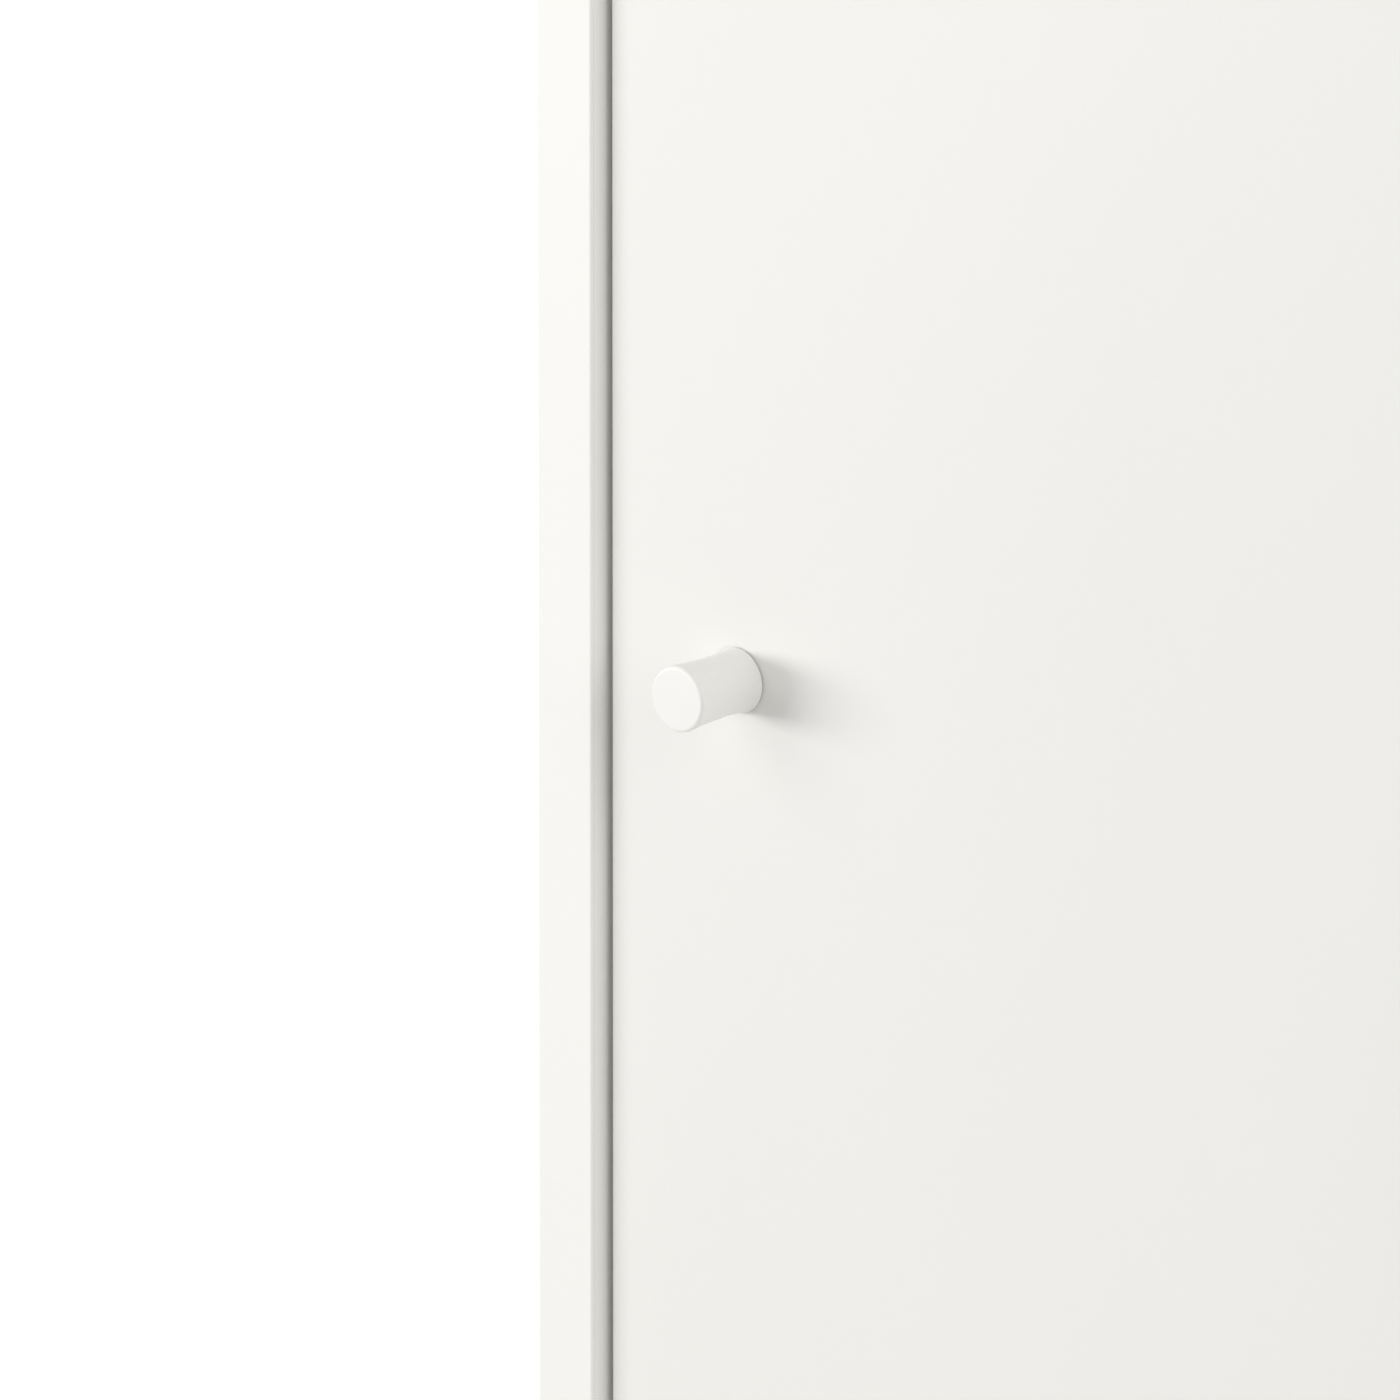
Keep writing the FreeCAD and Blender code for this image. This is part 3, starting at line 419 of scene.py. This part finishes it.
def knob_profile(radius, length):
    """Half outline from the middle of the foot: undercut, waist, soft edge, barely crowned end."""
    foot, waist = radius - KNOB_FOOT_INSET, radius - KNOB_WAIST_INSET
    flat, shoulder = radius - KNOB_SOFT_EDGE, length - KNOB_CROWN
    edge_start = shoulder - KNOB_SOFT_EDGE
    narrowest = (waist, KNOB_WAIST_HEIGHT)
    undercut = foot - 2 * KNOB_STEP
    profile = [(0, 0), (undercut, 0), (undercut, KNOB_STEP), (foot - KNOB_RIM, KNOB_STEP)]
    profile += bend((foot, KNOB_STEP + KNOB_RIM), (waist, KNOB_WAIST_HEIGHT / 3), narrowest, 8)
    profile += bend(narrowest, (waist, (KNOB_WAIST_HEIGHT + length) / 2), (radius, edge_start), 12)
    profile += arc((flat, edge_start), KNOB_SOFT_EDGE, 0, 90, 10)
    crown_rings = (0.97, 0.8, 0.55, 0.3, 0.1)  # shares of the flat end's radius
    profile += [(flat * share, shoulder + KNOB_CROWN * (1 - share**2)) for share in crown_rings]
    profile.append((0, length))
    return profile


def make_knob(door, material):
    """Knob in place of the CAD one, with a finer outline."""
    low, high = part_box(door + "_door_knob")
    name = door + "_knob"
    profile = knob_profile((high.x - low.x) / 2, high.y - low.y)
    piece = mesh_piece(name, lathe(name, profile, KNOB_SEGMENTS), material)
    foot = Vector(((low.x + high.x) / 2, high.y, (low.z + high.z) / 2))
    piece.data.transform(Matrix.Translation(foot) @ Matrix.Rotation(math.radians(90), 4, "X"))
    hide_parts(door + "_door_knob")
    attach(piece, door + "_door")


def coil_height(turn, height):
    """Height of the wire's middle: closed end coils and an even rise between them."""
    rise = (height - 2 * CLOSED_TURNS * CLOSED_PITCH) / (SPRING_TURNS - 2 * CLOSED_TURNS)
    if turn < CLOSED_TURNS:
        return turn * CLOSED_PITCH
    if turn > SPRING_TURNS - CLOSED_TURNS:
        return height - (SPRING_TURNS - turn) * CLOSED_PITCH
    return CLOSED_TURNS * CLOSED_PITCH + (turn - CLOSED_TURNS) * rise


def coil_mesh(name, low, high):
    """Spring wire wound about +Z that fills the box from low to high."""
    foot = Vector(((low.x + high.x) / 2, (low.y + high.y) / 2, low.z + WIRE_RADIUS))
    radius = (high.x - low.x) / 2 - WIRE_RADIUS
    height = high.z - low.z - 2 * WIRE_RADIUS
    around = [2 * math.pi * j / WIRE_SIDES for j in range(WIRE_SIDES)]
    bm = bmesh.new()
    rings = []
    for turn in (k / SPRING_STEPS for k in range(SPRING_TURNS * SPRING_STEPS + 1)):
        angle = 2 * math.pi * turn
        out = Vector((math.cos(angle), math.sin(angle), 0))
        middle = foot + out * radius + Vector((0, 0, coil_height(turn, height)))
        rings.append([bm.verts.new(middle + WIRE_RADIUS * (out * math.cos(a) + Vector((0, 0, math.sin(a)))))
                      for a in around])
    for ring, following in zip(rings, rings[1:]):
        for j in range(WIRE_SIDES):
            i = (j + 1) % WIRE_SIDES
            bm.faces.new((ring[j], following[j], following[i], ring[i]))
    bm.faces.new(rings[0])
    bm.faces.new(list(reversed(rings[-1])))
    bmesh.ops.recalc_face_normals(bm, faces=bm.faces)
    return mesh_from(name, bm)


def make_spring(door, side, material):
    """Guide spring with closed ends between its housing and its pin, wound to fill the CAD spring's box."""
    name = door + "_guide_spring_" + side
    low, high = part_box(name)
    piece = mesh_piece(door + "_guide_coil_" + side, coil_mesh(name, low, high), material)
    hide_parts(name)
    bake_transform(piece)


# ---------------------------------------------------------------- edges of the hardware
EDGES = {  # node name: how far its sharp edges are broken, in millimetres
    "rail_socket_left": 0.4, "rail_socket_right": 0.4, "wall_brackets": 0.25, "top_track": 0.2,
    "bottom_track": 0.2, "track_stops": 0.4, "back_joint_strip": 0.2,
}
DOOR_EDGES = {  # the same for the nodes of each door, by the end of the node's name
    "_roller_housings": 0.3, "_guide_housings": 0.3, "_guide_pin_left": 0.3, "_guide_pin_right": 0.3,
}
WELD_DISTANCE = 0.01 * MM
BEVEL_ANGLE = math.radians(40)  # edges sharper than this are broken


def break_edges(node, width):
    """Bevels a CAD node's sharp edges with modifiers, so that they catch the light."""
    piece = nodes[node]
    piece.modifiers.new("weld", "WELD").merge_threshold = WELD_DISTANCE
    bevel = piece.modifiers.new("bevel", "BEVEL")
    bevel.width = width * MM
    bevel.segments = 2
    bevel.limit_method = "ANGLE"
    bevel.angle_limit = BEVEL_ANGLE
    bevel.use_clamp_overlap = True
    piece.modifiers.new("normals", "WEIGHTED_NORMAL").keep_sharp = True


# ---------------------------------------------------------------- camera
VIEW_AZIMUTH = math.radians(41.5)
VIEW_ELEVATION = math.radians(16.5)
VIEW_DISTANCE = 9.0
VIEW_WIDTH = 0.3465  # what the picture spans at the knob
KNOB_RIGHT = 9.36 * MM  # knob's foot from the middle of the picture
KNOB_UP = 5.0 * MM
SENSOR_WIDTH = 36.0


def towards_viewer(azimuth, elevation):
    """Unit vector from the object towards a place in front of it, azimuth to the right."""
    level = math.cos(elevation)
    return Vector((math.sin(azimuth) * level, -math.cos(azimuth) * level, math.sin(elevation)))


def place_facing(thing, target, back, distance):
    """Puts a camera or lamp at distance from target along back, looking at target."""
    thing.location = target + back * distance
    thing.rotation_mode = "QUATERNION"
    thing.rotation_quaternion = back.to_track_quat("Z", "Y")
    bpy.context.scene.collection.objects.link(thing)


def make_camera():
    """Close view of the front door's knob from the upper right."""
    back = towards_viewer(VIEW_AZIMUTH, VIEW_ELEVATION)
    turn = back.to_track_quat("Z", "Y")
    right, up = turn @ Vector((1, 0, 0)), turn @ Vector((0, 1, 0))
    data = bpy.data.cameras.new("camera")
    data.sensor_width = SENSOR_WIDTH
    data.lens = SENSOR_WIDTH * VIEW_DISTANCE / VIEW_WIDTH
    data.clip_start, data.clip_end = 0.1, 100.0
    camera = bpy.data.objects.new("camera", data)
    place_facing(camera, knob_foot - right * KNOB_RIGHT - up * KNOB_UP, back, VIEW_DISTANCE)
    bpy.context.scene.camera = camera


# ---------------------------------------------------------------- light
AMBIENT = 0.508  # strength of the even room light
BACKDROP = 1.05  # strength of the white that shows behind the object
LAMP_AIM = Vector((0.6 * knob_foot.x, knob_foot.y, knob_foot.z))  # on the front door, right of its knob


def soft_light(name, azimuth, elevation, distance, size, power):
    """Rectangular lamp of size (width, height), angles in degrees, that no camera sees."""
    data = bpy.data.lights.new(name, "AREA")
    data.shape = "RECTANGLE"
    data.size, data.size_y = size
    data.energy = power
    light = bpy.data.objects.new(name, data)
    light.visible_camera = False
    place_facing(light, LAMP_AIM, towards_viewer(math.radians(azimuth), math.radians(elevation)), distance)


def make_lights():
    """A wide level key from the left, a lamp above it and a grazing fill from the right."""
    soft_light("key", azimuth=-44, elevation=1.5, distance=3.1, size=(2.4, 0.6), power=44)
    soft_light("upper_left", azimuth=-47, elevation=27, distance=1.6, size=(0.9, 0.8), power=3.2)
    soft_light("right_fill", azimuth=80, elevation=30, distance=3.0, size=(2.0, 2.2), power=30)


def make_world():
    """Even soft room light, with a plain white backdrop behind the object."""
    plain_white = (1.0, 1.0, 1.0, 1.0)
    world = bpy.data.worlds.new("world")
    world.use_nodes = True
    n = Nodes(world.node_tree)
    room, backdrop = world.node_tree.nodes["Background"], n.add("ShaderNodeBackground")
    for background, strength in ((room, AMBIENT), (backdrop, BACKDROP)):
        background.inputs["Color"].default_value = plain_white
        background.inputs["Strength"].default_value = strength
    blend = n.add("ShaderNodeMixShader")
    n.put(blend, 0, n.add("ShaderNodeLightPath").outputs["Is Camera Ray"])
    n.put(blend, 1, room.outputs[0])
    n.put(blend, 2, backdrop.outputs[0])
    n.put(world.node_tree.nodes["World Output"], "Surface", blend.outputs[0])
    bpy.context.scene.world = world


# ---------------------------------------------------------------- floor
FLOOR_SOLID = 0.8  # radius of the floor that shows fully
FLOOR_END = 2.3  # radius where it has faded out
FLOOR_SEGMENTS = 96
FLOOR_DARK, FLOOR_LIGHT = (0.80, 0.80, 0.79), (0.83, 0.83, 0.82)


def floor_material():
    mottle_size, pore_size = 7.0, 240.0
    material, n, place, bsdf = new_material("pale_floor")
    length = n.add("ShaderNodeVectorMath", operation="LENGTH")
    n.put(length, 0, place)
    faded = n.remap(length.outputs["Value"], FLOOR_SOLID, FLOOR_END, 1.0, 0.0, smooth=True)
    n.put(bsdf, "Alpha", faded)
    mottle = n.noise(place, mottle_size, 4.0)
    n.put(bsdf, "Base Color", n.mix(mottle, shade(FLOOR_DARK, 1.0), shade(FLOOR_LIGHT, 1.0)))
    n.put(bsdf, "Roughness", n.remap(mottle, NOISE_LOW, NOISE_HIGH, 0.55, 0.65))
    n.put(bsdf, "Normal", n.bump(n.noise(place, pore_size, 3.0), strength=0.15, distance=0.2 * MM))
    return material


def make_floor():
    """Pale round floor whose rim fades into the white backdrop."""
    bm = bmesh.new()
    bmesh.ops.create_circle(bm, cap_ends=True, segments=FLOOR_SEGMENTS, radius=FLOOR_END)
    floor = bpy.data.objects.new("floor", mesh_from("floor", bm))
    floor.data.materials.append(floor_material())
    bpy.context.scene.collection.objects.link(floor)


# ---------------------------------------------------------------- the scene
def finish_door(door, materials):
    """The knob, springs and broken edges of one door."""
    make_knob(door, materials["knob_plastic"])
    for side in ("left", "right"):
        make_spring(door, side, materials["spring_steel"])
    for ending, width in DOOR_EDGES.items():
        break_edges(door + ending, width)


def main():
    make_camera()
    materials = make_materials()
    paint_nodes(materials)
    for door in ("front", "rear"):
        finish_door(door, materials)
    for node, width in EDGES.items():
        break_edges(node, width)
    make_world()
    make_floor()
    make_lights()
    bpy.context.scene.view_settings.view_transform = "Standard"


main()
bpy.context.view_layer.update()
